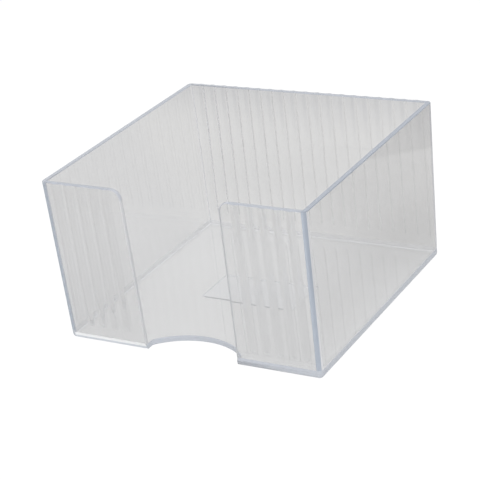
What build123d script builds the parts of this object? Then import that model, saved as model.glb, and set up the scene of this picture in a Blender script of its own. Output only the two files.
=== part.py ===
from build123d import *

import os
from math import atan, degrees

# Clear memo holder: an open tray for a block of note paper, made of six cemented plates.
# Millimetres. The origin is the middle of the underside, +Z is up and the finger gap faces -Y.

# Overall size, over the plain faces of the walls
rim_width = 100.0
rim_depth = 98.0
height = 59.5
wall_lean = 1.0  # how far each wall leans outwards between the table and the rim

# Plates
side_wall = 1.8
reeded_wall = 1.5
floor_plate = 2.0

# Rounded edges
corner_radius = 1.6  # upright outer corners
foot_radius = 1.5  # lower outer edge
panel_corner = 3.7  # top corners beside the finger gap

# Finger gap between the front panels, and thumb notch in the floor
gap_at_rim = 37.2
gap_at_floor = 35.6
notch_depth = 11.0
notch_radius = 25.0

# Upright reeds on the outer faces of the front and rear
reed_pitch = 4.92
reed_width = 3.1
reed_height = 0.35
reed_root = 0.3  # how far a reed goes into its plate
reed_foot = 6.0  # the rounded lower ends start this far up the wall
reed_margin = 1.0  # least plain strip between a reed and a side wall
panel_margin = 3.0  # least plain strip between a reed and the finger gap

# Blank recess in the underside
recess_length = 37.0
recess_width = 19.0
recess_depth = 0.4
recess_corner = 1.0

# Worked out from the sizes above
slope = wall_lean / height
draft = degrees(atan(slope))
corner_fillet = min(corner_radius, 0.9 * side_wall)
foot_fillet = min(foot_radius, 0.95 * corner_fillet, 0.8 * floor_plate)
reed_radius = (reed_width**2 / 4 + reed_height**2) / (2 * reed_height)
reed_sink = reed_radius - reed_height
reed_start = reed_foot + reed_width / 2


def half_width(z):
    """Half the outer width at height z."""
    return rim_width / 2 - slope * (height - z)


def half_depth(z):
    """Half the outer depth at height z, over the plain faces."""
    return rim_depth / 2 - slope * (height - z)


def well_half_width(z):
    """Distance from the middle to the inner face of a side wall at height z."""
    return half_width(z) - side_wall


reeds_each_side = int((well_half_width(floor_plate) - reed_margin - reed_width / 2) / reed_pitch)
reed_places = [k * reed_pitch for k in range(-reeds_each_side, reeds_each_side + 1)]
panel_reed_places = [x for x in reed_places if x - reed_width / 2 >= gap_at_rim / 2 + panel_margin]

rim = Plane.XY.offset(height)
rear_face = Plane(origin=(0, half_depth(0), 0), x_dir=(-1, 0, 0), z_dir=(0, 1, -slope))
front_face = Plane(origin=(0, -half_depth(0), 0), x_dir=(1, 0, 0), z_dir=(0, -1, -slope))
rear_inner_face = Plane(origin=(0, half_depth(0) - reeded_wall, 0), x_dir=(-1, 0, 0), z_dir=rear_face.z_dir)
front_inner_face = Plane(origin=(0, reeded_wall - half_depth(0), 0), x_dir=(1, 0, 0), z_dir=front_face.z_dir)

# The leaning block that the outer faces of all the walls lie on
with BuildPart() as wall_envelope:
    with BuildSketch(Plane.XY.offset(floor_plate)):
        Rectangle(2 * half_width(floor_plate), 2 * half_depth(floor_plate))
    extrude(amount=height - floor_plate, taper=-draft)

# One reed: the top of a round bar with a ball end, along +Y of the face it stands on
with BuildPart() as reed:
    with BuildSketch():
        with BuildLine():
            CenterArc((0, 0), reed_radius, start_angle=-90, arc_size=90)
            Line((reed_radius, 0), (reed_radius, height))
            Line((reed_radius, height), (0, height))
            Line((0, height), (0, -reed_radius))
        make_face()
    revolve(axis=Axis.Y)
    split(bisect_by=Plane.XY.offset(reed_sink - reed_root), keep=Keep.TOP)

# Floor: full footprint with rounded outer edges, thumb notch and blank recess
with BuildPart() as floor:
    with BuildSketch():
        Rectangle(2 * half_width(0), 2 * half_depth(0))
    extrude(amount=floor_plate, taper=-draft)
    fillet(floor.edges().group_by(Axis.Z)[1], corner_fillet)
    fillet(floor.faces().sort_by(Axis.Z)[0].edges(), foot_fillet)
    with BuildSketch():
        with Locations((0, notch_depth - half_depth(0) - notch_radius)):
            Circle(notch_radius)
        Rectangle(gap_at_floor, 2 * rim_depth, mode=Mode.INTERSECT)
    extrude(amount=floor_plate, mode=Mode.SUBTRACT)
    with BuildSketch():
        RectangleRounded(recess_length, recess_width, recess_corner)
    extrude(amount=recess_depth, mode=Mode.SUBTRACT)

# Side walls: plain plates over the full depth, standing on the floor
with BuildPart() as right_wall:
    with BuildSketch(Plane.XZ):
        with BuildLine():
            Polyline(
                (well_half_width(floor_plate), floor_plate),
                (half_width(floor_plate), floor_plate),
                (half_width(height), height),
                (well_half_width(height), height),
                close=True,
            )
        make_face()
    extrude(amount=rim_depth, both=True)
    add(wall_envelope.part, mode=Mode.INTERSECT)
    outer_edges = right_wall.faces().sort_by(Axis.X)[-1].edges()
    fillet(outer_edges.filter_by(Axis.Y, reverse=True), corner_fillet)

with BuildPart() as left_wall:
    mirror(right_wall.part, about=Plane.YZ)

# Rear wall: reeded plate between the side walls
with BuildPart() as rear_wall:
    with BuildSketch(Plane.XZ):
        with BuildLine():
            Polyline(
                (-well_half_width(floor_plate), floor_plate),
                (well_half_width(floor_plate), floor_plate),
                (well_half_width(height), height),
                (-well_half_width(height), height),
                close=True,
            )
        make_face()
    extrude(amount=-rim_depth)
    add(wall_envelope.part, mode=Mode.INTERSECT)
    with Locations(rear_face):
        with Locations(*[(x, reed_start, -reed_sink) for x in reed_places]):
            add(reed.part)
    split(bisect_by=rim, keep=Keep.BOTTOM)
    split(bisect_by=rear_inner_face, keep=Keep.TOP)

# Front panels: reeded plates on each side of the finger gap
with BuildPart() as front_right_panel:
    with BuildSketch(Plane.XZ) as panel_outline:
        with BuildLine():
            Polyline(
                (gap_at_floor / 2, floor_plate),
                (well_half_width(floor_plate), floor_plate),
                (well_half_width(height), height),
                (gap_at_rim / 2, height),
                close=True,
            )
        make_face()
        fillet(panel_outline.vertices().group_by(Axis.Y)[-1].sort_by(Axis.X)[0], panel_corner)
    extrude(amount=rim_depth)
    add(wall_envelope.part, mode=Mode.INTERSECT)
    with Locations(front_face):
        with Locations(*[(x, reed_start, -reed_sink) for x in panel_reed_places]):
            add(reed.part)
    split(bisect_by=rim, keep=Keep.BOTTOM)
    split(bisect_by=front_inner_face, keep=Keep.TOP)

with BuildPart() as front_left_panel:
    mirror(front_right_panel.part, about=Plane.YZ)

os.makedirs("parts", exist_ok=True)
pieces = {
    "floor": floor,
    "left_wall": left_wall,
    "right_wall": right_wall,
    "rear_wall": rear_wall,
    "front_left_panel": front_left_panel,
    "front_right_panel": front_right_panel,
}
for name, piece in pieces.items():
    piece.part.label = name
    export_step(piece.part, f"parts/{name}.step")
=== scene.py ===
import logging
import math
from dataclasses import dataclass
from enum import Enum, IntEnum
from typing import Optional, Sequence

import bmesh
import bpy
from mathutils import Matrix, Vector


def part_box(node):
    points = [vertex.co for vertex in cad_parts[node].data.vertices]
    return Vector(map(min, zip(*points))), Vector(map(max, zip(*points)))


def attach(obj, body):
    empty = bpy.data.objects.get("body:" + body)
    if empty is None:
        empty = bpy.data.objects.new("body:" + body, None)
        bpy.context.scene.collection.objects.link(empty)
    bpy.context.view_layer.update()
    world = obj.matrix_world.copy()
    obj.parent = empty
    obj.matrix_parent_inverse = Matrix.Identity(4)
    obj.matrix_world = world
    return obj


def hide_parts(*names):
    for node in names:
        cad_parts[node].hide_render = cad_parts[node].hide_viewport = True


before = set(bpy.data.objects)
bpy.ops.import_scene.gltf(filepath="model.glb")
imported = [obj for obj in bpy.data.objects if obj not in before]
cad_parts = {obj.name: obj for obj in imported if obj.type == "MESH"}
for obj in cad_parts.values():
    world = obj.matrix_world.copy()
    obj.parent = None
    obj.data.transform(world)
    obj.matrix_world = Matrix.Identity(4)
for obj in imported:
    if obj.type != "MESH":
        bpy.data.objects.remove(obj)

# Looks of a clear memo holder, built round its packed plates. Metres, the finger gap faces -Y.

MM = 0.001
ROOT_BODY = "root"
LOG = logging.getLogger("memo_holder")

Point = Vector
Row = list[Vector]
Colour = tuple[float, float, float]
Coords = tuple[float, float, float]
Material = bpy.types.Material
Node = bpy.types.Node
Socket = bpy.types.NodeSocket

# Flow marks of the moulding: detail of their noise, and share of the fine grain in them
RIPPLE_DETAIL = 1.0
GRAIN_SHARE = 0.06

# Rubs and scratches: their noise, and the part of its range over which a face turns hazy
RUB_DETAIL = 6.0
RUB_DISTORTION = 1.2
RUB_FROM, RUB_TO = 0.52, 0.72


def quarter_turn(steps: int) -> list[float]:
    """Angles from nothing to a right angle, in even steps."""
    return [math.pi / 2 * k / steps for k in range(steps + 1)]


class Surface(IntEnum):
    """Finish of a face: its number is the material slot on every plate."""

    CLEAR = 0
    REAR_REED = 1
    FRONT_REED = 2
    FRONT_LAND = 3
    FLOOR_EDGE = 4
    FRONT_END = 5
    REAR_END = 6
    CORNER = 7
    RIM = 8
    GAP_EDGE = 9
    JOINT = 10
    FROSTED = 11
    # The next four finishes are painted: a line of painted shade, painted light, a painted highlight, and a
    # rim of painted shade
    RECESS_LINE = 12
    PAINTED_LIGHT_EDGE = 13
    PAINTED_HIGHLIGHT_EDGE = 14
    PAINTED_SHADE_RIM = 15
    PANEL_CORNER = 16


class Side(Enum):
    """Which half of the tray a mirrored piece belongs to."""

    LEFT = -1
    RIGHT = 1


class Facing(Enum):
    """Which way the reeds of a plate point along Y."""

    FRONT = -1
    REAR = 1


@dataclass(frozen=True)
class TrayShape:
    """Main sizes of the tray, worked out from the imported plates."""

    height: float
    floor_top: float
    slope: float
    rim_half_width: float
    rim_half_depth: float
    side_wall: float
    reeded_wall: float
    reed_height: float
    gap_half_floor: float

    @classmethod
    def from_frame(cls) -> "TrayShape":
        """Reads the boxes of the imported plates.

        Returns:
            The sizes that all the visible plates share.
        """
        floor_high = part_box("floor")[1]
        wall_low, wall_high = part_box("right_wall")
        rear_low, rear_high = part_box("rear_wall")
        panel_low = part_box("front_right_panel")[0]
        return cls(
            height=wall_high.z,
            floor_top=floor_high.z,
            slope=(wall_high.x - floor_high.x) / (wall_high.z - floor_high.z),
            rim_half_width=wall_high.x,
            rim_half_depth=wall_high.y,
            side_wall=floor_high.x - wall_low.x,
            reeded_wall=floor_high.y - rear_low.y,
            reed_height=rear_high.y - wall_high.y,
            gap_half_floor=panel_low.x,
        )

    def half_width(self, z: float) -> float:
        """Half the outer width at height z."""
        return self.rim_half_width - self.slope * (self.height - z)

    def half_depth(self, z: float) -> float:
        """Half the outer depth at height z, over the plain faces."""
        return self.rim_half_depth - self.slope * (self.height - z)

    def well_half_width(self, z: float) -> float:
        """Distance from the middle to a side wall's inner face at height z."""
        return self.half_width(z) - self.side_wall


@dataclass(frozen=True)
class EdgeSizes:
    """Rounded edges, tinted bands, and the hair gap that keeps cemented faces apart."""

    rim_round: float = 0.3 * MM
    corner_radius: float = 1.6 * MM
    foot_radius: float = 1.44 * MM
    joint_gap: float = 0.02 * MM
    foot_band: float = 1.2 * MM
    round_steps: int = 4
    corner_steps: int = 8
    bluish_steps: int = 5

    def quarter(self) -> list[tuple[float, float]]:
        """Rounded edge from a face to the rim.

        Returns:
            Pairs of inset from the rim and depth below the face.
        """
        small, turns = self.rim_round, quarter_turn(self.round_steps)
        return [(small * (1 - math.sin(a)), small * (1 - math.cos(a))) for a in turns]


@dataclass(frozen=True)
class Reeding:
    """Upright reeds on the outer faces of the front and rear, blended softly into the plates."""

    height: float
    pitch: float = 4.92 * MM
    width: float = 3.1 * MM
    foot: float = 6.0 * MM
    side_margin: float = 1.0 * MM
    gap_margin: float = 3.0 * MM
    steps: int = 10
    plain_from: float = 1 - 1e-5  # share of the half width that counts as beside the reed

    @property
    def start(self) -> float:
        """Height at which the rounded lower end becomes straight."""
        return self.foot + self.width / 2

    def turns(self) -> list[float]:
        """Angles that space the columns of a reed and the rows of its rounded end."""
        return quarter_turn(self.steps)

    def places(self, low: float, high: float) -> list[float]:
        """Centres of the reeds that fit whole between two uprights.

        Args:
            low: Least x that a reed may reach.
            high: Greatest x that a reed may reach.

        Returns:
            Reed centres from left to right.
        """
        first = math.ceil((low + self.width / 2) / self.pitch)
        last = math.floor((high - self.width / 2) / self.pitch)
        return [k * self.pitch for k in range(first, last + 1)]

    def columns(self, centre: float) -> list[float]:
        """X of the mesh columns across one reed."""
        half = [self.width / 2 * math.sin(a) for a in self.turns()]
        return [centre - x for x in reversed(half[1:])] + [centre + x for x in half]

    def rows(self) -> list[float]:
        """Heights of the mesh rows over a rounded lower end."""
        return [self.start - self.width / 2 * math.cos(a) for a in self.turns()]

    def relief(self, across: float, z: float) -> float:
        """How far one reed stands proud of the plain face.

        Args:
            across: Distance from the reed's middle.
            z: Height above the table.

        Returns:
            The relief, zero beside the reed and below its rounded end.
        """
        share = math.hypot(across, max(self.start - z, 0.0)) / (self.width / 2)
        if share >= self.plain_from:
            return 0.0
        return self.height / 2 * (1 + math.cos(math.pi * share))


class PlateMesh:
    """Welded mesh of one plate, put together patch by patch."""

    WELD = 2e-7

    def __init__(self, side: Side = Side.RIGHT) -> None:
        """Starts an empty mesh.

        Args:
            side: LEFT mirrors every point about the middle of the tray.
        """
        self.mesh = bmesh.new()
        self.flip = float(side.value)
        self.known: dict[tuple[int, int, int], bmesh.types.BMVert] = {}

    def vert(self, point: Point) -> bmesh.types.BMVert:
        """The vertex at a point, made on first use.

        Args:
            point: Place of the vertex before any mirroring.

        Returns:
            The vertex.
        """
        key = tuple(round(c / self.WELD) for c in point)
        if key not in self.known:
            self.known[key] = self.mesh.verts.new((point.x * self.flip, point.y, point.z))
        return self.known[key]

    def face(self, points: Sequence[Point], surface: Surface = Surface.CLEAR, smooth: bool = False) -> None:
        """Adds one face, leaving out repeated points.

        Args:
            points: Corners in order round the face.
            surface: Finish of the face.
            smooth: True on rounded faces.
        """
        corners = list(dict.fromkeys(self.vert(p) for p in points))
        if len(corners) < 3:
            return
        made = self.mesh.faces.new(corners)
        made.material_index = int(surface)
        made.smooth = smooth

    def strip(self, row: Row, other: Row, surface: Surface = Surface.CLEAR, smooth: bool = False) -> None:
        """Quads between two rows of as many points."""
        for k in range(len(row) - 1):
            self.face([row[k], row[k + 1], other[k + 1], other[k]], surface, smooth)

    def grid(self, rows: Sequence[Row], surface: Surface = Surface.CLEAR, smooth: bool = False) -> None:
        """Quads between each row and the next."""
        for row, other in zip(rows, rows[1:]):
            self.strip(row, other, surface, smooth)

    def fill_between(self, outer: Row, inner: Row, surface: Surface = Surface.CLEAR) -> None:
        """Flat face with a hole, between two closed loops of points.

        Args:
            outer: Loop round the face.
            inner: Loop round the hole.
            surface: Finish of the face.
        """
        edges = []
        for loop in (outer, inner):
            corners = list(dict.fromkeys(self.vert(p) for p in loop))
            for a, b in zip(corners, corners[1:] + corners[:1]):
                edges.append(self.mesh.edges.get((a, b)) or self.mesh.edges.new((a, b)))
        filled = bmesh.ops.triangle_fill(self.mesh, use_beauty=True, use_dissolve=False, edges=edges)
        for item in filled["geom"]:
            if isinstance(item, bmesh.types.BMFace):
                item.material_index = int(surface)
                item.smooth = False

    def finish(self, name: str, materials: Sequence[Material]) -> bpy.types.Object:
        """Closes the mesh and makes its object.

        Args:
            name: Name of the piece.
            materials: One material for each Surface, in order.

        Returns:
            The linked object.
        """
        bmesh.ops.remove_doubles(self.mesh, verts=self.mesh.verts, dist=self.WELD)
        bmesh.ops.recalc_face_normals(self.mesh, faces=self.mesh.faces)
        open_edges = sum(1 for e in self.mesh.edges if len(e.link_faces) != 2)
        if open_edges:
            LOG.warning("%s has %d open edges", name, open_edges)
        data = bpy.data.meshes.new(name)
        self.mesh.to_mesh(data)
        self.mesh.free()
        for material in materials:
            data.materials.append(material)
        piece = bpy.data.objects.new(name, data)
        bpy.context.scene.collection.objects.link(piece)
        return piece


@dataclass
class Plate:
    """One plate of the tray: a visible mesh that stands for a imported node."""

    shape: TrayShape
    edges: EdgeSizes
    node: str = ""

    @property
    def foot(self) -> float:
        """Height of a wall's lower end, a hair above the floor plate."""
        return self.shape.floor_top + self.edges.joint_gap

    @property
    def band_top(self) -> float:
        """Height up to which a wall's outer face is bluish, over the thick corner with the floor."""
        return self.foot + self.edges.foot_band

    def corner_arc(self, z: float, inset: float) -> Row:
        """Rounded upright corner at the front right.

        Args:
            z: Height of the section.
            inset: How far the corner is drawn in.

        Returns:
            Points from the front face to the side face.
        """
        radius, turns = self.edges.corner_radius, quarter_turn(self.edges.corner_steps)
        x, y = self.shape.half_width(z) - radius, radius - self.shape.half_depth(z)
        swing = radius - inset
        return [Vector((x + swing * math.sin(a), y - swing * math.cos(a), z)) for a in turns]

    def mesh(self) -> PlateMesh:
        """Builds the plate's mesh."""
        raise NotImplementedError

    def dress(self, materials: Sequence[Material]) -> bpy.types.Object:
        """Makes the visible piece and ties it to the frame.

        Args:
            materials: One material for each Surface, in order.

        Returns:
            The piece, riding on the tray's one body.
        """
        piece = self.mesh().finish(f"clear_{self.node}", materials)
        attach(piece, ROOT_BODY)
        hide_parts(self.node)
        LOG.info("%s: %d faces", piece.name, len(piece.data.polygons))
        return piece


@dataclass
class SideWall(Plate):
    """Plain wall over the full depth, with rounded upright corners and a rounded rim."""

    side: Side = Side.RIGHT

    def __post_init__(self) -> None:
        """Names the node that this wall stands for."""
        self.node = f"{self.side.name.lower()}_wall"

    def outline(self, z: float, inset: float) -> Row:
        """Outer outline of the wall at one height, from front joint to rear joint.

        Args:
            z: Height of the section.
            inset: How far the outline is drawn in, for the rounded rim.

        Returns:
            Points from front to rear.
        """
        inner, depth = self.shape.well_half_width(z), self.shape.half_depth(z)
        front = self.corner_arc(z, inset)
        rear = [Vector((p.x, -p.y, z)) for p in reversed(front)]
        return [Vector((inner, inset - depth, z)), *front, *rear, Vector((inner, depth - inset, z))]

    def inner_edge(self, z: float, inset: float) -> Row:
        """Inner edge at one height, mitred into the front and rear plates.

        Args:
            z: Height of the section.
            inset: How far the edge is drawn in, for the rounded rim.

        Returns:
            Points from front to rear.
        """
        inner = self.shape.well_half_width(z)
        end = self.shape.half_depth(z) - self.shape.reeded_wall + inset
        return [
            Vector((inner, -end, z)),
            Vector((inner + inset, -end, z)),
            Vector((inner + inset, end, z)),
            Vector((inner, end, z)),
        ]

    def mesh(self) -> PlateMesh:
        """Builds the wall from its outline, rim and joint faces.

        Returns:
            The wall's mesh.
        """
        plate = PlateMesh(self.side)
        top = self.shape.height - self.edges.rim_round
        bottom = self.outline(self.foot, 0.0)
        bottom_inner = self.inner_edge(self.foot, 0.0)
        rim_heights = [(self.shape.height - drop, inset) for drop, inset in self.edges.quarter()]
        outer_rows = [self.outline(z, inset) for z, inset in rim_heights]
        inner_rows = [self.inner_edge(z, inset) for z, inset in rim_heights]
        steps, bluish = self.edges.corner_steps, self.edges.bluish_steps
        band = self.outline(self.band_top, 0.0)
        plate.strip(bottom, band, Surface.FLOOR_EDGE)
        uprights = [band, self.outline(top - self.edges.rim_round, 0.0), outer_rows[0]]
        for first, last, surface, smooth in (
            (0, 1, Surface.FRONT_END, False),
            (1, 1 + bluish, Surface.FRONT_END, True),
            (1 + bluish, 1 + steps, Surface.CORNER, True),
            (1 + steps, 2 + steps, Surface.CLEAR, False),
            (2 + steps, 2 + 2 * steps, Surface.REAR_END, True),
            (2 + 2 * steps, 3 + 2 * steps, Surface.REAR_END, False),
        ):
            plate.grid([row[first : last + 1] for row in uprights], surface, smooth)
        # The right wall's rim is a darker copy of the rim finish: painted shade
        rim = Surface.PAINTED_SHADE_RIM if self.side is Side.RIGHT else Surface.RIM
        plate.grid(outer_rows, rim, True)
        plate.grid(inner_rows, rim, True)
        plate.face(outer_rows[-1] + inner_rows[-1][::-1], rim)
        plate.face([bottom_inner[1], bottom_inner[2], inner_rows[0][2], inner_rows[0][1]])
        for end in (0, -1):
            upright = [row[end] for row in [bottom, *uprights, *outer_rows[1:]]]
            back = [row[end] for row in reversed(inner_rows)] + [bottom_inner[end]]
            plate.face(upright + back, Surface.JOINT)
        plate.face(bottom + bottom_inner[::-1], Surface.JOINT)
        return plate


@dataclass
class ReededPlate(Plate):
    """Upright plate with reeds on its outer face."""

    reeding: Optional[Reeding] = None
    facing: Facing = Facing.REAR
    reed: Surface = Surface.REAR_REED
    land: Surface = Surface.CLEAR

    def point(self, x: float, z: float, depth: float = 0.0, reeded: bool = True) -> Point:
        """A point of the plate.

        Args:
            x: Place across the plate.
            z: Height above the table.
            depth: Distance behind the outer surface.
            reeded: True to measure the depth from the reeds, False from the plain face.

        Returns:
            The point in the tray's frame.
        """
        relief = self.relief(x, z) if reeded else 0.0
        return Vector((x, self.facing.value * (self.shape.half_depth(z) + relief - depth), z))

    def reach(self) -> tuple[float, float]:
        """Least and greatest x that a reed may reach."""
        raise NotImplementedError

    def reed_places(self) -> list[float]:
        """Centres of the plate's reeds."""
        return self.reeding.places(*self.reach())

    def reed_columns(self) -> list[float]:
        """X of the mesh columns over the reeds."""
        return [x for centre in self.reed_places() for x in self.reeding.columns(centre)]

    def relief(self, x: float, z: float) -> float:
        """How far the outer face stands proud of the plain face."""
        return self.reeding.relief(min(abs(x - centre) for centre in self.reed_places()), z)

    def joint_x(self, z: float) -> float:
        """Where the plate meets a side wall at height z."""
        return self.shape.well_half_width(z) - self.edges.joint_gap

    def reeded_cell(self, plate: PlateMesh, corners: Row, raised: list[bool]) -> None:
        """One cell of the outer face, cut along the rounded end of a reed where that crosses it.

        Args:
            plate: Mesh that takes the faces.
            corners: The four corners in order.
            raised: Which corners stand on a reed.
        """
        if sum(raised) != 1:
            plate.face(corners, self.reed if any(raised) else self.land, smooth=any(raised))
            return
        k = raised.index(True)
        on_reed = [corners[k - 1], corners[k], corners[(k + 1) % 4]]
        on_plain = [corners[(k + 1) % 4], corners[(k + 2) % 4], corners[k - 1]]
        plate.face(on_reed, self.reed, smooth=True)
        plate.face(on_plain, self.land)

    def outer_face(self, plate: PlateMesh, rows: Sequence[Row]) -> None:
        """Adds the reeded face.

        Args:
            plate: Mesh that takes the faces.
            rows: Rows of points, lowest first.
        """
        for low, high in zip(rows, rows[1:]):
            for k in range(len(low) - 1):
                corners = [low[k], low[k + 1], high[k + 1], high[k]]
                raised = [self.relief(p.x, p.z) > 0.0 for p in corners]
                self.reeded_cell(plate, corners, raised)


@dataclass
class RearWall(ReededPlate):
    """Reeded wall between the side walls."""

    node: str = "rear_wall"

    def reach(self) -> tuple[float, float]:
        """Least and greatest x that a reed may reach."""
        half = self.shape.well_half_width(self.shape.floor_top) - self.reeding.side_margin
        return -half, half

    def row(self, z: float, depth: float = 0.0) -> Row:
        """Points across the plate at one height and depth."""
        end = self.joint_x(z)
        return [self.point(x, z, depth) for x in [-end, *self.reed_columns(), end]]

    def mesh(self) -> PlateMesh:
        """Builds the wall from its reeded face, rim, inner face and joints.

        Returns:
            The wall's mesh.
        """
        plate = PlateMesh()
        top, wall = self.shape.height, self.shape.reeded_wall
        small = self.edges.rim_round
        heights = [self.foot, self.band_top, *self.reeding.rows(), top - 2 * small, top - small]
        outer = [self.row(z) for z in heights]
        plate.strip(outer[0], outer[1], Surface.FLOOR_EDGE)
        self.outer_face(plate, outer[1:])
        rim = [self.row(top - inset, depth) for inset, depth in self.edges.quarter()]
        plate.grid(rim, Surface.RIM, True)
        inner = []
        for inset, depth in reversed(self.edges.quarter()):
            z = top - inset
            inner.append([self.point(s * self.joint_x(z), z, wall - depth, False) for s in (-1, 1)])
        plate.grid(inner, Surface.RIM, True)
        plate.face(rim[-1] + inner[0][::-1], Surface.RIM)
        low = [self.point(s * self.joint_x(self.foot), self.foot, wall, False) for s in (-1, 1)]
        plate.face([low[0], low[1], inner[-1][1], inner[-1][0]])
        plate.face(outer[0] + low[::-1], Surface.JOINT)
        for end in (0, -1):
            upright = [row[end] for row in outer] + [row[end] for row in rim]
            plate.face(upright + [row[end] for row in inner] + [low[end]], Surface.CORNER)
        return plate


@dataclass
class FrontPanel(ReededPlate):
    """Reeded panel beside the finger gap, with one rounded top corner."""

    side: Side = Side.RIGHT
    facing: Facing = Facing.FRONT
    reed: Surface = Surface.FRONT_REED
    land: Surface = Surface.FRONT_LAND
    gap_lean: float = 0.8 * MM
    # Height of the left panel's foot band, which carries a painted highlight
    painted_highlight_band: float = 0.4 * MM
    top_corner: float = 3.7 * MM

    def __post_init__(self) -> None:
        """Names the node that this panel stands for."""
        self.node = f"front_{self.side.name.lower()}_panel"

    @property
    def corner_z(self) -> float:
        """Height at which the rounded top corner starts."""
        return self.shape.height - self.top_corner

    @property
    def corner_x(self) -> float:
        """Place at which the rounded top corner ends."""
        return self.gap_x(self.corner_z) + self.top_corner

    def gap_x(self, z: float) -> float:
        """Edge of the finger gap at height z."""
        rise = (z - self.shape.floor_top) / (self.shape.height - self.shape.floor_top)
        return self.shape.gap_half_floor + self.gap_lean * rise

    def corner_turns(self) -> list[float]:
        """Angles along the rounded top corner, from the gap to the rim."""
        return quarter_turn(self.edges.corner_steps)

    def reach(self) -> tuple[float, float]:
        """Least and greatest x that a reed may reach."""
        low = self.shape.gap_half_floor + self.gap_lean + self.reeding.gap_margin
        return low, self.shape.well_half_width(self.shape.floor_top) - self.reeding.side_margin

    def row(self, z: float) -> Row:
        """Points across the outer face at one height below the rounded corner.

        Args:
            z: Height of the row.

        Returns:
            Points from the gap to the side wall.
        """
        start = self.gap_x(z) + self.edges.rim_round
        span = self.corner_x - start
        corner = [start + span * (1 - math.cos(a)) for a in self.corner_turns()]
        return [self.point(x, z) for x in [*corner, *self.reed_columns(), self.joint_x(z)]]

    def corner_row(self, inset: float, depth: float, reeded: bool) -> Row:
        """Points along the rounded top corner.

        Args:
            inset: Distance in from the panel's outline.
            depth: Distance behind the outer surface.
            reeded: True to measure the depth from the reeds, False from the plain face.

        Returns:
            Points from the gap to the rim.
        """
        swing, points = self.top_corner - inset, []
        for a in self.corner_turns():
            x, z = self.corner_x - swing * math.cos(a), self.corner_z + swing * math.sin(a)
            points.append(self.point(x, z, depth, reeded))
        return points

    def rim_row(self, inset: float, depth: float) -> Row:
        """Points along the rounded corner and the rim.

        Args:
            inset: Distance in from the panel's outline.
            depth: Distance behind the reeded surface.

        Returns:
            Points from the gap to the side wall.
        """
        z = self.shape.height - inset
        straight = [self.point(x, z, depth) for x in [*self.reed_columns(), self.joint_x(z)]]
        return self.corner_row(inset, depth, True) + straight

    def inner_rim(self, inset: float, depth: float) -> Row:
        """Points along the gap, the rounded corner and the rim, on the plain inner side.

        Args:
            inset: Distance in from the panel's outline.
            depth: Distance behind the plain outer face.

        Returns:
            Points from the foot of the gap to the side wall.
        """
        z = self.shape.height - inset
        foot = self.point(self.gap_x(self.foot) + inset, self.foot, depth, False)
        end = self.point(self.joint_x(z), z, depth, False)
        return [foot, *self.corner_row(inset, depth, False), end]

    def mesh(self) -> PlateMesh:
        """Builds the panel from its reeded face, its rounded edges, inner face and joints.

        Returns:
            The panel's mesh.
        """
        plate = PlateMesh(self.side)
        wall, steps = self.shape.reeded_wall, self.edges.corner_steps
        # Only the left panel is painted: a painted highlight along its foot band, and on its end against
        # the side wall the dark bluish wall-end finish as painted edge shade
        lit = self.side is Side.LEFT
        band_top = self.foot + self.painted_highlight_band if lit else self.band_top
        heights = [self.foot, band_top, *self.reeding.rows(), self.corner_z]
        quarter = self.edges.quarter()
        outer = [self.row(z) for z in heights] + [self.rim_row(*quarter[0])]
        plate.strip(outer[0], outer[1], Surface.PAINTED_HIGHLIGHT_EDGE if lit else Surface.FLOOR_EDGE)
        self.outer_face(plate, outer[1:])
        gap = [[self.point(self.gap_x(z) + inset, z, depth) for z in heights] for inset, depth in quarter]
        rim = [self.rim_row(inset, depth) for inset, depth in quarter]
        plate.grid(gap, Surface.GAP_EDGE, True)
        plate.grid([row[: steps + 1] for row in rim], Surface.PANEL_CORNER, True)
        plate.grid([row[steps:] for row in rim], Surface.RIM, True)
        inner = [self.inner_rim(inset, wall - depth) for inset, depth in reversed(quarter)]
        plate.grid([row[:2] for row in inner], Surface.GAP_EDGE, True)
        plate.grid([row[1 : steps + 2] for row in inner], Surface.PANEL_CORNER, True)
        plate.grid([row[steps + 1 :] for row in inner], Surface.RIM, True)
        plate.face(gap[-1] + [inner[0][1], inner[0][0]], Surface.GAP_EDGE)
        plate.strip(rim[-1][: steps + 1], inner[0][1 : steps + 2], Surface.PANEL_CORNER, True)
        plate.face(rim[-1][steps:] + [inner[0][-1], inner[0][steps + 1]], Surface.RIM)
        low = self.point(self.joint_x(self.foot), self.foot, wall, False)
        plate.face(inner[-1] + [low])
        gap_foot = [row[0] for row in gap]
        plate.face(outer[0][::-1] + gap_foot[1:] + [row[0] for row in inner] + [low], Surface.JOINT)
        end = [row[-1] for row in outer] + [row[-1] for row in rim] + [row[-1] for row in inner] + [low]
        plate.face(end, Surface.FRONT_END if lit else Surface.JOINT)
        return plate


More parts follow.
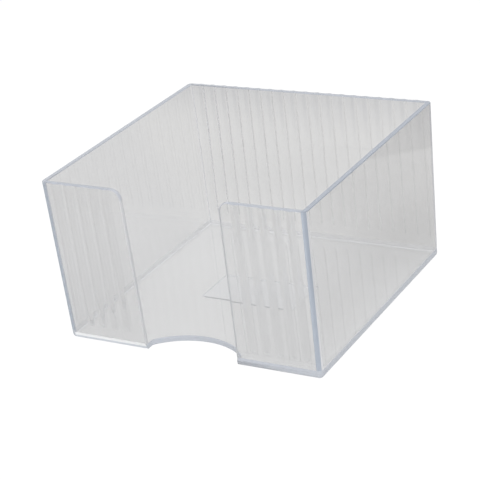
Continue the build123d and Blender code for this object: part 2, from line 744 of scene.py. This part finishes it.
@dataclass
class FloorPlate(Plate):
    """Floor with a rounded lower edge, a thumb notch and a blank recess underneath."""

    node: str = "floor"
    notch_depth: float = 11.0 * MM
    notch_radius: float = 25.0 * MM
    notch_steps: int = 40
    recess_length: float = 37.0 * MM
    recess_width: float = 19.0 * MM
    recess_depth: float = 0.4 * MM
    recess_corner: float = 1.0 * MM
    # Width of the line of painted shade along the recess's front edge
    recess_line: float = 0.45 * MM
    # Height above which the floor's front left edge carries a painted highlight
    painted_highlight_from: float = 1.2 * MM

    def outline(self, z: float, inset: float, edge_round: float) -> Row:
        """Outline of the floor at one height, anticlockwise from the left end of the notch.

        Args:
            z: Height of the section.
            inset: How far the outer edge is drawn in.
            edge_round: How far the notch's arc is drawn in.

        Returns:
            Points of the closed outline.
        """
        return self.notch(z, inset, edge_round) + self.border(z, inset)

    def notch(self, z: float, inset: float, edge_round: float) -> Row:
        """Thumb notch at one height.

        Args:
            z: Height of the section.
            inset: How far the outer edge is drawn in.
            edge_round: How far the notch's arc is drawn in.

        Returns:
            Points from left to right.
        """
        gap, front = self.shape.gap_half_floor, inset - self.shape.half_depth(z)
        centre_y = self.notch_depth - self.shape.half_depth(0.0) - self.notch_radius
        swing = math.asin(gap / self.notch_radius)
        arc = []
        for k in range(self.notch_steps + 1):
            a = swing * (2 * k / self.notch_steps - 1)
            inside = edge_round if 0 < k < self.notch_steps else 0.0
            reach = self.notch_radius + inside
            arc.append(Vector((reach * math.sin(a), centre_y + reach * math.cos(a), z)))
        well_front = self.shape.reeded_wall - self.shape.half_depth(self.shape.floor_top)
        left = [Vector((-gap, front, z)), Vector((-gap, well_front, z))]
        return left + arc + [Vector((-p.x, p.y, z)) for p in reversed(left)]

    def border(self, z: float, inset: float) -> Row:
        """Outer edge of the floor at one height.

        Args:
            z: Height of the section.
            inset: How far the edge is drawn in.

        Returns:
            Points from the right end of the notch round to the left one.
        """
        well = self.shape.well_half_width(self.shape.floor_top)
        right_front = [Vector((well, inset - self.shape.half_depth(z), z)), *self.corner_arc(z, inset)]
        right_rear = [Vector((p.x, -p.y, z)) for p in reversed(right_front)]
        left = [Vector((-p.x, p.y, z)) for p in reversed(right_front + right_rear)]
        return right_front + right_rear + left

    @property
    def recess_front(self) -> int:
        """Number of the recess's points that come before its front right corner."""
        return 3 * (self.edges.corner_steps + 1)

    def recess(self, z: float) -> Row:
        """Outline of the blank recess.

        Args:
            z: Height of the section.

        Returns:
            Points anticlockwise from the right side.
        """
        half_x, half_y = self.recess_length / 2, self.recess_width / 2
        radius, steps = self.recess_corner, self.edges.corner_steps
        points = []
        for quarter, (sx, sy) in enumerate(((1, 1), (-1, 1), (-1, -1), (1, -1))):
            x, y = sx * (half_x - radius), sy * (half_y - radius)
            for k in range(steps + 1):
                a = math.pi / 2 * (quarter + k / steps)
                points.append(Vector((x + radius * math.cos(a), y + radius * math.sin(a), z)))
        return points

    def sections(self) -> list[Row]:
        """Outlines of the floor through its rounded edges.

        Returns:
            Closed outlines from the underside to the top.
        """
        foot, small, top = self.edges.foot_radius, self.edges.rim_round, self.shape.floor_top
        levels = [(foot * (1 - math.cos(a)), foot * (1 - math.sin(a))) for a in self.turns(2)]
        heights = sorted({z for z, _ in levels} | {small * (1 - math.cos(a)) for a in self.turns()})
        heights += [top - small * math.cos(a) for a in self.turns()]
        return [self.outline(z, self.foot_inset(z), self.notch_inset(z)) for z in heights]

    def turns(self, share: int = 1) -> list[float]:
        """Angles of a rounded edge, in share times the usual number of steps."""
        return quarter_turn(share * self.edges.round_steps)

    def foot_inset(self, z: float) -> float:
        """How far the rounded lower edge is drawn in at height z."""
        foot = self.edges.foot_radius
        return foot - math.sqrt(max(foot**2 - (foot - min(z, foot)) ** 2, 0.0))

    def notch_inset(self, z: float) -> float:
        """How far the notch's edge is drawn in, near the top and the underside.

        Args:
            z: Height of the section.

        Returns:
            The inset, zero between the rounded edges.
        """
        small = self.edges.rim_round
        reach = small - min(z, self.shape.floor_top - z, small)
        return small - math.sqrt(max(small**2 - reach**2, 0.0))

    def mesh(self) -> PlateMesh:
        """Builds the floor from its edge, top, joints, underside and recess.

        Returns:
            The floor's mesh.
        """
        plate = PlateMesh()
        rings = [ring + ring[:1] for ring in self.sections()]
        plate.grid([ring[:-1] for ring in rings], Surface.FLOOR_EDGE, True)
        # The front left stretch of the edge is painted: painted light low down, and a painted highlight
        # above the given height
        for low, high in zip(rings, rings[1:]):
            lit = low[-1].z > self.painted_highlight_from
            plate.strip(low[-2:], high[-2:], Surface.PAINTED_HIGHLIGHT_EDGE if lit else Surface.PAINTED_LIGHT_EDGE, True)
        self.top(plate)
        plate.fill_between(rings[0][:-1], self.recess(0.0))
        self.recess_walls(plate)
        self.recess_roof(plate)
        return plate

    def recess_walls(self, plate: PlateMesh) -> None:
        """Adds the low walls round the recess, the front one as a thin grey line of painted shade.

        Args:
            plate: Mesh that takes the faces.
        """
        sill, roof = self.recess(0.0), self.recess(self.recess_depth)
        sill, roof = sill + sill[:1], roof + roof[:1]
        front = self.recess_front - 1
        for first, last, surface in (
            (0, front, Surface.CORNER),
            (front, front + 1, Surface.RECESS_LINE),
            (front + 1, len(sill) - 1, Surface.CORNER),
        ):
            plate.strip(sill[first : last + 1], roof[first : last + 1], surface)

    def recess_roof(self, plate: PlateMesh) -> None:
        """Adds the frosted roof of the recess, with a thin grey line of painted shade along its front edge.

        Args:
            plate: Mesh that takes the faces.
        """
        roof = self.recess(self.recess_depth)
        front = self.recess_front
        left, right = roof[front - 1], roof[front]
        line = [p + Vector((0.0, self.recess_line, 0.0)) for p in (right, left)]
        plate.face([left, right, *line], Surface.RECESS_LINE)
        plate.face(roof[:front] + line[::-1] + roof[front:], Surface.FROSTED)

    def top(self, plate: PlateMesh) -> None:
        """Adds the open top of the floor and the faces that the walls are cemented to.

        Args:
            plate: Mesh that takes the faces.
        """
        z = self.shape.floor_top
        notch = self.notch(z, 0.0, self.edges.rim_round)
        border = self.border(z, 0.0)
        half = len(border) // 2
        right, left = border[:half], border[half:]
        well_x = self.shape.well_half_width(z)
        well_y = self.shape.half_depth(z) - self.shape.reeded_wall
        corners = [Vector((sx * well_x, sy * well_y, z)) for sx, sy in ((1, -1), (1, 1), (-1, 1), (-1, -1))]
        plate.face(notch[1:-1] + corners)
        plate.face(right + [corners[1], corners[0]], Surface.JOINT)
        plate.face(left + [corners[3], corners[2]], Surface.JOINT)
        plate.face([right[-1], left[0], corners[2], corners[1]], Surface.JOINT)
        plate.face([notch[-1], right[0], corners[0], notch[-2]], Surface.JOINT)
        plate.face([left[-1], notch[0], notch[1], corners[3]], Surface.JOINT)


class NodeTree:
    """Short calls for putting shader nodes into a tree."""

    # Sockets of a Mix node that works on colours
    MIX_SHARE, MIX_FIRST, MIX_SECOND, MIX_RESULT = 0, 6, 7, 2

    def __init__(self, tree: bpy.types.NodeTree) -> None:
        """Takes a tree and empties it."""
        self.tree = tree
        self.tree.nodes.clear()

    def node(self, kind: str, **values: object) -> Node:
        """Adds a node and sets its plain properties.

        Args:
            kind: Blender's name of the node.
            **values: Properties of the node.

        Returns:
            The new node.
        """
        made = self.tree.nodes.new(kind)
        for name, value in values.items():
            setattr(made, name, value)
        return made

    def link(self, source: Socket, target: Socket) -> None:
        """Joins two sockets."""
        self.tree.links.new(source, target)

    def feed(self, value: object, target: Socket) -> None:
        """Gives a socket a plain value or the output of another node.

        Args:
            value: A number, a colour or a socket.
            target: Socket that takes it.
        """
        if isinstance(value, Socket):
            self.link(value, target)
        else:
            target.default_value = (*value, 1.0) if isinstance(value, tuple) else value

    def math(self, operation: str, first: object, second: object) -> Socket:
        """Adds a sum of two values or sockets.

        Args:
            operation: Blender's name of the sum.
            first: A number or a socket.
            second: A number or a socket.

        Returns:
            The result's socket.
        """
        made = self.node("ShaderNodeMath", operation=operation)
        self.feed(first, made.inputs[0])
        self.feed(second, made.inputs[1])
        return made.outputs[0]

    def past(self, value: Socket, edge: float, blur: float) -> Socket:
        """Rises softly from 0 to 1 where a value passes an edge.

        Args:
            value: Socket with the value.
            edge: Value halfway up the rise.
            blur: Half the width of the rise.

        Returns:
            The socket of the share past the edge.
        """
        rise = self.node("ShaderNodeMapRange", interpolation_type="SMOOTHSTEP")
        rise.inputs["From Min"].default_value = edge - blur
        rise.inputs["From Max"].default_value = edge + blur
        self.link(value, rise.inputs["Value"])
        return rise.outputs["Result"]

    def blend(self, share: Socket, first: object, second: object) -> Socket:
        """Mixes two colours.

        Args:
            share: Share of the second colour.
            first: A colour or a socket.
            second: A colour or a socket.

        Returns:
            The socket of the mixed colour.
        """
        made = self.node("ShaderNodeMix", data_type="RGBA")
        self.link(share, made.inputs[self.MIX_SHARE])
        self.feed(first, made.inputs[self.MIX_FIRST])
        self.feed(second, made.inputs[self.MIX_SECOND])
        return made.outputs[self.MIX_RESULT]

    def mix_shader(self, share: Socket, first: Socket, second: Socket) -> Socket:
        """Mixes two shaders.

        Args:
            share: Share of the second shader.
            first: Shader where the share is 0.
            second: Shader where the share is 1.

        Returns:
            The socket of the mixed shader.
        """
        made = self.node("ShaderNodeMixShader")
        for source, target in zip((share, first, second), made.inputs):
            self.link(source, target)
        return made.outputs["Shader"]

    def noise(self, place: Socket, scale: Socket, **values: float) -> Socket:
        """Adds a noise texture.

        Args:
            place: Position that the noise is read at.
            scale: Fineness of the noise.
            **values: Other inputs of the texture.

        Returns:
            The socket of the noise.
        """
        made = self.node("ShaderNodeTexNoise")
        self.link(place, made.inputs["Vector"])
        self.link(scale, made.inputs["Scale"])
        for name, value in values.items():
            made.inputs[name].default_value = value
        return made.outputs["Fac"]

    def group(self, group: bpy.types.NodeTree, place: Socket, numbers: dict[str, float]) -> Socket:
        """Places a node group.

        Args:
            group: The group.
            place: Position that the group works from.
            numbers: Its other inputs by name.

        Returns:
            The group's one output.
        """
        made = self.node("ShaderNodeGroup", node_tree=group)
        self.link(place, made.inputs["Position"])
        for name, number in numbers.items():
            made.inputs[name].default_value = number
        return made.outputs[0]

    def show(self, shader: Socket, kind: str = "ShaderNodeOutputMaterial") -> None:
        """Adds the output node and gives it the whole shader."""
        self.link(shader, self.node(kind).inputs["Surface"])


def new_material(name: str) -> tuple[Material, NodeTree]:
    """Starts a material.

    Args:
        name: Name of the material.

    Returns:
        The material and its empty nodes.
    """
    material = bpy.data.materials.new(name)
    material.use_nodes = True
    return material, NodeTree(material.node_tree)


def new_group(name: str, numbers: Sequence[str], output: str) -> tuple[NodeTree, Node, Node]:
    """Starts a shader node group that works from a position.

    Args:
        name: Name of the group.
        numbers: Names of the number inputs that follow Position.
        output: Name of its one output.

    Returns:
        The group's nodes, its input node and its output node.
    """
    group = bpy.data.node_groups.new(name, "ShaderNodeTree")
    group.interface.new_socket("Position", in_out="INPUT", socket_type="NodeSocketVector")
    for number in numbers:
        group.interface.new_socket(number, in_out="INPUT", socket_type="NodeSocketFloat")
    group.interface.new_socket(output, in_out="OUTPUT", socket_type="NodeSocketFloat")
    tree = NodeTree(group)
    return tree, tree.node("NodeGroupInput"), tree.node("NodeGroupOutput")


def moulding_ripple() -> bpy.types.NodeTree:
    """Node group for the faint flow marks that a mould leaves on clear plastic.

    Returns:
        A group with Position, Flow Scale and Grain Scale inputs and a Height output.
    """
    scales = ("Flow Scale", "Grain Scale")
    tree, given, result = new_group("moulding_ripple", scales, "Height")
    place = given.outputs["Position"]
    flow, grain = (tree.noise(place, given.outputs[scale], Detail=RIPPLE_DETAIL) for scale in scales)
    faint = tree.math("MULTIPLY", grain, GRAIN_SHARE)
    tree.link(tree.math("ADD", flow, faint), result.inputs["Height"])
    return tree.tree


def handling_scuffs() -> bpy.types.NodeTree:
    """Node group for the hazy rubs and hair scratches of use.

    Returns:
        A group with Position, Polish, Haze and Scale inputs and a Roughness output.
    """
    tree, given, result = new_group("handling_scuffs", ("Polish", "Haze", "Scale"), "Roughness")
    place, scale = given.outputs["Position"], given.outputs["Scale"]
    rub = tree.noise(place, scale, Detail=RUB_DETAIL, Distortion=RUB_DISTORTION)
    worn = tree.node("ShaderNodeMapRange")
    worn.inputs["From Min"].default_value = RUB_FROM
    worn.inputs["From Max"].default_value = RUB_TO
    tree.link(rub, worn.inputs["Value"])
    haze = tree.math("MULTIPLY", worn.outputs["Result"], given.outputs["Haze"])
    tree.link(tree.math("ADD", given.outputs["Polish"], haze), result.inputs["Roughness"])
    return tree.tree


@dataclass(frozen=True)
class ClearPlastic:
    """Clear plastic: polished faces, frosted marks, or the bluish edges, whose tint is the plastic's and
    whose pale and dark tones are painted light and painted shade for the light the plates gather.
    """

    name: str
    colour: Colour
    transmission: float = 1.0
    ior: float = 1.59
    polish: float = 0.01
    haze: float = 0.03
    scuff_scale: float = 90.0
    flow_scale: float = 45.0
    grain_scale: float = 900.0
    ripple_depth: float = 0.004 * MM
    shade_tint: Colour = (0.96, 0.962, 0.965)
    inside: Optional[Colour] = None
    inside_transmission: float = 1.0

    def material(self, ripple: bpy.types.NodeTree, scuffs: bpy.types.NodeTree) -> Material:
        """Builds the material.

        Args:
            ripple: Node group for the moulding's flow marks.
            scuffs: Node group for rubs and scratches.

        Returns:
            The material.
        """
        material, tree = new_material(self.name)
        place = tree.node("ShaderNodeTexCoord").outputs["Object"]
        plastic = self.body(tree, self.colour, self.transmission)
        worn = {"Polish": self.polish, "Haze": self.haze, "Scale": self.scuff_scale}
        tree.link(tree.group(scuffs, place, worn), plastic.inputs["Roughness"])
        moulded = {"Flow Scale": self.flow_scale, "Grain Scale": self.grain_scale}
        bump = tree.node("ShaderNodeBump")
        bump.inputs["Strength"].default_value = 1.0
        bump.inputs["Distance"].default_value = self.ripple_depth
        tree.link(tree.group(ripple, place, moulded), bump.inputs["Height"])
        tree.link(bump.outputs["Normal"], plastic.inputs["Normal"])
        tree.show(self.lit_through(tree, self.from_inside(tree, plastic.outputs["BSDF"])))
        return material

    def body(self, tree: NodeTree, colour: Colour, transmission: float) -> Node:
        """Adds the plastic's own shader.

        Args:
            tree: Nodes of the material.
            colour: Colour of the plastic.
            transmission: Share of the light that goes through.

        Returns:
            The shader's node.
        """
        made = tree.node("ShaderNodeBsdfPrincipled")
        made.inputs["Base Color"].default_value = (*colour, 1.0)
        made.inputs["IOR"].default_value = self.ior
        made.inputs["Transmission Weight"].default_value = transmission
        return made

    def from_inside(self, tree: NodeTree, plastic: Socket) -> Socket:
        """Gives an edge a second colour, painted light or painted shade, for light that reaches it from
        inside the plate.

        Args:
            tree: Nodes of the material.
            plastic: The finish seen from outside.

        Returns:
            The shader of the whole finish.
        """
        if self.inside is None:
            return plastic
        within = self.body(tree, self.inside, self.inside_transmission)
        within.inputs["Roughness"].default_value = self.polish
        behind = tree.node("ShaderNodeNewGeometry").outputs["Backfacing"]
        return tree.mix_shader(behind, plastic, within.outputs["BSDF"])

    def lit_through(self, tree: NodeTree, plastic: Socket) -> Socket:
        """Lets the lamp shine through.

        Args:
            tree: Nodes of the material.
            plastic: The plastic's shader.

        Returns:
            The shader that throws only a faint shadow.
        """
        rays = tree.node("ShaderNodeLightPath")
        share = tree.math("MAXIMUM", rays.outputs["Is Shadow Ray"], rays.outputs["Is Diffuse Ray"])
        pane = tree.node("ShaderNodeBsdfTransparent")
        pane.inputs["Color"].default_value = (*self.shade_tint, 1.0)
        return tree.mix_shader(share, plastic, pane.outputs["BSDF"])


@dataclass(frozen=True)
class CementedJoint:
    """Faces where two plates are cemented: nothing of them shows."""

    name: str = "cemented_joint"

    def material(self) -> Material:
        """Builds the material.

        Returns:
            A see-through surface.
        """
        material, tree = new_material(self.name)
        tree.show(tree.node("ShaderNodeBsdfTransparent").outputs["BSDF"])
        return material


@dataclass(frozen=True)
class PhotoCamera:
    """Camera at the photograph's viewing angle."""

    azimuth: float = 32.11
    elevation: float = 24.322
    roll: float = -7.169
    distance: float = 567.58 * MM
    focal_px: float = 1585.25
    shift_right: float = -7.056 * MM
    shift_up: float = 19.62 * MM
    frame_px: float = 480.0
    sensor_mm: float = 36.0
    clip_start: float = 0.01

    def place(self) -> bpy.types.Object:
        """Makes the camera and gives it to the scene.

        Returns:
            The camera.
        """
        turn, lift = math.radians(self.azimuth), math.radians(self.elevation)
        tilt = math.radians(self.roll)
        back = Vector((math.sin(turn) * math.cos(lift), -math.cos(turn) * math.cos(lift), math.sin(lift)))
        level = (-back).cross(Vector((0.0, 0.0, 1.0))).normalized()
        upright = level.cross(-back)
        right = math.cos(tilt) * level + math.sin(tilt) * upright
        up = math.cos(tilt) * upright - math.sin(tilt) * level
        data = bpy.data.cameras.new("photo_camera")
        data.sensor_width = self.sensor_mm
        data.lens = self.focal_px * self.sensor_mm / self.frame_px
        data.clip_start = self.clip_start
        camera = bpy.data.objects.new("photo_camera", data)
        place = back * self.distance + right * self.shift_right + up * self.shift_up
        camera.matrix_world = Matrix.Translation(place) @ Matrix((right, up, back)).transposed().to_4x4()
        bpy.context.scene.collection.objects.link(camera)
        bpy.context.scene.camera = camera
        return camera


@dataclass(frozen=True)
class SoftBox:
    """A large soft lamp."""

    name: str
    place: Coords
    size: float
    power: float

    def light(self, target: Vector) -> bpy.types.Object:
        """Makes the lamp.

        Args:
            target: Point that it faces.

        Returns:
            The lamp.
        """
        data = bpy.data.lights.new(self.name, "AREA")
        data.size = self.size
        data.energy = self.power
        lamp = bpy.data.objects.new(self.name, data)
        lamp.location = self.place
        lamp.rotation_euler = (target - Vector(self.place)).to_track_quat("-Z", "Y").to_euler()
        lamp.visible_camera = False
        lamp.visible_glossy = False
        lamp.visible_transmission = False
        bpy.context.scene.collection.objects.link(lamp)
        return lamp


@dataclass(frozen=True)
class PaintedFloorPatch:
    """Round patch of painted light or painted shade on the studio floor."""

    centre: Coords
    radius: float
    fade: float
    tone: Colour

    def row(self, tree: NodeTree, position: Socket) -> tuple[Socket, float, float, Colour]:
        """Adds the distance from the patch's middle, counted down from zero.

        Args:
            tree: Nodes of the floor.
            position: Socket with the place on the floor.

        Returns:
            The socket of that value, its amount at the patch's edge, half the width of the soft
            border, and the tone inside.
        """
        away = tree.node("ShaderNodeVectorMath", operation="DISTANCE")
        tree.link(position, away.inputs[0])
        away.inputs[1].default_value = self.centre
        return tree.math("MULTIPLY", away.outputs["Value"], -1.0), -self.radius, self.fade, self.tone


@dataclass(frozen=True)
class Studio:
    """Floor, room and lamp: white to the camera, pale grey to rays that have met the plastic."""

    # Tones of the floor through the plastic: pale paper with painted light, painted shade and painted dark
    # reflections
    paper: Colour = (0.748, 0.745, 0.739)
    # Painted light on the paper beyond 89 mm in front of the tray, which leaves the paper nearer the tray
    # as a painted shadow
    painted_light_paper: Colour = (0.8, 0.797, 0.79)
    # Painted shade on the paper beside the tray's left wall
    painted_shade_beside: Colour = (0.719, 0.718, 0.718)
    # Painted falloff of light, far behind and far to the left
    painted_falloff_paper: Colour = (0.6, 0.6, 0.61)
    # Painted dark reflection: the paper at the right, darker in reflections only
    painted_dark_reflection: Colour = (0.42, 0.41, 0.4)
    # Painted dark reflection in the far right rear corner, seen in reflections only
    table: Colour = (0.06, 0.05, 0.05)
    # Painted pool of light on the paper under the tray
    painted_light_pool: PaintedFloorPatch = PaintedFloorPatch(
        centre=(-20 * MM, 40 * MM, 0.0), radius=35 * MM, fade=25 * MM, tone=(0.8, 0.797, 0.79)
    )
    # Painted shadow on the paper behind the tray's right rear
    painted_shadow_patch: PaintedFloorPatch = PaintedFloorPatch(
        centre=(50 * MM, 68 * MM, 0.0), radius=32 * MM, fade=25 * MM, tone=(0.67, 0.667, 0.66)
    )

    # Where those tones start, and half the width of each soft border
    paper_front: float = 89 * MM
    front_blur: float = 3 * MM
    paper_side: float = 51 * MM
    side_blur: float = 3 * MM
    side_corner: float = 5 * MM
    side_fade: float = 15 * MM
    paper_left: float = 220 * MM
    left_fade: float = 80 * MM
    paper_back: float = 188 * MM
    back_fade: float = 40 * MM
    paper_right: float = 58 * MM
    right_blur: float = 12 * MM
    paper_corner: float = 233 * MM
    corner_blur: float = 4 * MM

    # Room round the tray
    bright_room: Colour = (0.9, 0.9, 0.9)
    dim_room: Colour = (0.25, 0.25, 0.25)
    bright_side: Coords = (-0.35, 0.55, 0.76)
    room_blur: float = 0.9
    kept_each_turn: float = 0.985

    # White floor that the camera sees
    white_paper: Colour = (0.25, 0.25, 0.25)
    white_glow: float = 0.78
    floor_half: float = 4.0
    floor_drop: float = 0.15 * MM

    key_lamp: SoftBox = SoftBox("key_softbox", place=(0.57, -0.91, 0.9), size=0.35, power=9.0)
    lamp_target: Coords = (0.0, 0.0, 0.02)
    light_bounces: int = 32
    see_through_bounces: int = 64

    def build(self) -> None:
        """Makes the floor, the surround and the lamp."""
        self.floor()
        self.surround()
        self.key_lamp.light(Vector(self.lamp_target))
        scene = bpy.context.scene
        scene.view_settings.view_transform = "Standard"
        scene.cycles.max_bounces = self.light_bounces
        scene.cycles.glossy_bounces = self.light_bounces
        scene.cycles.transmission_bounces = self.light_bounces
        scene.cycles.transparent_max_bounces = self.see_through_bounces

    def floor(self) -> bpy.types.Object:
        """Makes the floor, a hair below the tray.

        Returns:
            The floor.
        """
        half, z = self.floor_half, -self.floor_drop
        mesh = bpy.data.meshes.new("studio_floor")
        corners = [(-half, -half, z), (half, -half, z), (half, half, z), (-half, half, z)]
        mesh.from_pydata(corners, [], [(0, 1, 2, 3)])
        mesh.materials.append(self.floor_material())
        floor = bpy.data.objects.new("studio_floor", mesh)
        bpy.context.scene.collection.objects.link(floor)
        return floor

    def floor_material(self) -> Material:
        """Paper that is white to the camera and pale grey through the plastic.

        Returns:
            The material.
        """
        material, tree = new_material("studio_paper")
        rays = tree.node("ShaderNodeLightPath")
        grey = tree.node("ShaderNodeBsdfDiffuse")
        tree.link(self.dimmed(tree, rays, self.paper_tone(tree, rays)), grey.inputs["Color"])
        white = tree.node("ShaderNodeBsdfDiffuse")
        white.inputs["Color"].default_value = (*self.white_paper, 1.0)
        glow = tree.node("ShaderNodeEmission")
        glow.inputs["Strength"].default_value = self.white_glow
        lit = tree.node("ShaderNodeAddShader")
        tree.link(white.outputs["BSDF"], lit.inputs[0])
        tree.link(glow.outputs["Emission"], lit.inputs[1])
        seen = rays.outputs["Is Camera Ray"]
        tree.show(tree.mix_shader(seen, grey.outputs["BSDF"], lit.outputs["Shader"]))
        return material

    def dimmed(self, tree: NodeTree, rays: Node, colour: Socket) -> Socket:
        """Takes a little light off for each reflection inside the plastic, as its body does.

        Args:
            tree: Nodes of the floor or the world.
            rays: Light Path node.
            colour: Colour before the loss.

        Returns:
            The colour after the loss.
        """
        kept = tree.math("POWER", self.kept_each_turn, rays.outputs["Glossy Depth"])
        scale = tree.node("ShaderNodeVectorMath", operation="SCALE")
        tree.link(colour, scale.inputs["Vector"])
        tree.link(kept, scale.inputs["Scale"])
        return scale.outputs["Vector"]

    def paper_tone(self, tree: NodeTree, rays: Node) -> Socket:
        """Tone of the floor through the plastic.

        It is pale paper with painted light and shade: a painted pool of light under the tray and painted
        light in front of it, painted shade at the left side, a painted shadow at the right rear and painted
        falloff far away. In reflections it also has painted dark reflections at the right and in the far
        right rear corner.

        Args:
            tree: Nodes of the floor.
            rays: Light Path node.

        Returns:
            The colour of the floor.
        """
        glossy, through = rays.outputs["Is Glossy Ray"], rays.outputs["Is Transmission Ray"]
        reflected = tree.math("GREATER_THAN", glossy, through)
        position = tree.node("ShaderNodeNewGeometry").outputs["Position"]
        place = tree.node("ShaderNodeSeparateXYZ")
        tree.link(position, place.inputs["Vector"])
        right, rear = place.outputs["X"], place.outputs["Y"]
        corner = tree.math("ADD", right, rear)
        left, front = (tree.math("MULTIPLY", axis, -1.0) for axis in (right, rear))
        beside = tree.past(tree.math("ADD", left, front), self.side_corner, self.side_fade)
        colour: object = self.paper
        for value, edge, blur, tone, where in (
            (rear, self.paper_back, self.back_fade, self.painted_falloff_paper, None),
            (*self.painted_light_pool.row(tree, position), None),
            (*self.painted_shadow_patch.row(tree, position), None),
            (left, self.paper_side, self.side_blur, self.painted_shade_beside, beside),
            (left, self.paper_left, self.left_fade, self.painted_falloff_paper, None),
            (front, self.paper_front, self.front_blur, self.painted_light_paper, None),
            (right, self.paper_right, self.right_blur, self.painted_dark_reflection, reflected),
            (corner, self.paper_corner, self.corner_blur, self.table, reflected),
        ):
            share = tree.past(value, edge, blur)
            if where is not None:
                share = tree.math("MULTIPLY", share, where)
            colour = tree.blend(share, colour, tone)
        return colour

    def room_light(self, tree: NodeTree, rays: Node) -> Socket:
        """Light of the room: dim where the camera stands, bright above and behind the tray.

        Args:
            tree: Nodes of the world.
            rays: Light Path node.

        Returns:
            The colour of the room in each direction.
        """
        side = tree.node("ShaderNodeVectorMath", operation="DOT_PRODUCT")
        side.inputs[1].default_value = self.bright_side
        tree.link(tree.node("ShaderNodeTexCoord").outputs["Generated"], side.inputs[0])
        share = tree.past(side.outputs["Value"], 0.0, self.room_blur)
        return self.dimmed(tree, rays, tree.blend(share, self.dim_room, self.bright_room))

    def surround(self) -> None:
        """White world to the camera, a soft pale room to the plastic."""
        world = bpy.data.worlds.new("studio_room")
        world.use_nodes = True
        tree = NodeTree(world.node_tree)
        rays = tree.node("ShaderNodeLightPath")
        room = tree.node("ShaderNodeBackground")
        tree.link(self.room_light(tree, rays), room.inputs["Color"])
        white = tree.node("ShaderNodeBackground")
        white.inputs["Color"].default_value = (1.0, 1.0, 1.0, 1.0)
        seen = rays.outputs["Is Camera Ray"]
        whole = tree.mix_shader(seen, room.outputs["Background"], white.outputs["Background"])
        tree.show(whole, "ShaderNodeOutputWorld")
        bpy.context.scene.world = world


def tray_materials() -> list[Material]:
    """Builds the tray's finishes.

    Returns:
        One material for each Surface, in order.
    """
    ripple, scuffs = moulding_ripple(), handling_scuffs()
    # Edges: the plastic's bluish tint seen edge-on, with pale and dark tones that are painted light and
    # painted shade for the light the plates gather and trap; the colours seen from inside are painted the
    # same way
    edges = {"transmission": 0.2, "polish": 0.15, "shade_tint": (0.85, 0.86, 0.88)}
    clear_inside = {"inside": (1.0, 1.0, 1.0), **edges}
    pale_inside = {"inside": (0.83, 0.83, 0.84), "inside_transmission": 0.3, **edges}
    dark_inside = {"inside": (0.52, 0.53, 0.55), "inside_transmission": 0.2, **edges}
    reeds = {"polish": 0.16, "shade_tint": (0.88, 0.882, 0.885)}
    finishes = {
        Surface.CLEAR: ClearPlastic("polished_clear_plastic", (0.93, 0.931, 0.935)),
        # The reeds are tinted darker than the plain strips: painted shade in streaks along each reed
        Surface.REAR_REED: ClearPlastic("rear_reed", (0.9, 0.902, 0.906), **reeds),
        Surface.FRONT_REED: ClearPlastic("front_reed", (0.85, 0.85, 0.852), **reeds),
        Surface.FRONT_LAND: ClearPlastic("plain_strip", (0.93, 0.93, 0.93)),
        Surface.FLOOR_EDGE: ClearPlastic("floor_edge", (0.57, 0.6, 0.66), **pale_inside),
        Surface.FRONT_END: ClearPlastic("wall_front_end", (0.43, 0.48, 0.56), **edges),
        Surface.REAR_END: ClearPlastic("wall_rear_end", (0.66, 0.68, 0.72), **clear_inside),
        Surface.CORNER: ClearPlastic("rounded_corner", (0.77, 0.78, 0.8), **edges),
        Surface.RIM: ClearPlastic("rim", (0.5, 0.53, 0.59), **clear_inside),
        # Painted shade: a darker rim for the right wall
        Surface.PAINTED_SHADE_RIM: ClearPlastic("painted_shade_rim", (0.4, 0.44, 0.51), **clear_inside),
        Surface.PANEL_CORNER: ClearPlastic("panel_corner", (0.57, 0.59, 0.64), **dark_inside),
        Surface.GAP_EDGE: ClearPlastic("gap_edge", (0.66, 0.67, 0.69), **dark_inside),
        Surface.FROSTED: ClearPlastic("frosted_recess", (0.94, 0.95, 0.98), polish=0.12, haze=0.05),
        # Painted shade: the dark line along the recess's front step
        Surface.RECESS_LINE: ClearPlastic("recess_line", (0.43, 0.43, 0.45), **edges),
        # Painted light on the floor's front left edge, below its painted highlight
        Surface.PAINTED_LIGHT_EDGE: ClearPlastic("painted_light_edge", (0.72, 0.76, 0.82), **clear_inside),
        # Painted highlight: near white, on the front left foot of the tray
        Surface.PAINTED_HIGHLIGHT_EDGE: ClearPlastic("painted_highlight_edge", (0.98, 0.99, 1.0), **clear_inside),
    }
    made = {surface: finish.material(ripple, scuffs) for surface, finish in finishes.items()}
    made[Surface.JOINT] = CementedJoint().material()
    return [made[surface] for surface in Surface]


def main() -> None:
    """Builds the plates, the studio and the camera."""
    logging.basicConfig(level=logging.INFO)
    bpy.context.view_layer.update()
    shape, edges = TrayShape.from_frame(), EdgeSizes()
    reeding = Reeding(height=shape.reed_height)
    materials = tray_materials()
    plates: list[Plate] = [FloorPlate(shape, edges), RearWall(shape, edges, reeding=reeding)]
    for side in Side:
        plates.append(SideWall(shape, edges, side=side))
        plates.append(FrontPanel(shape, edges, reeding=reeding, side=side))
    for plate in plates:
        plate.dress(materials)
    Studio().build()
    PhotoCamera().place()


if __name__ == "__main__":
    main()
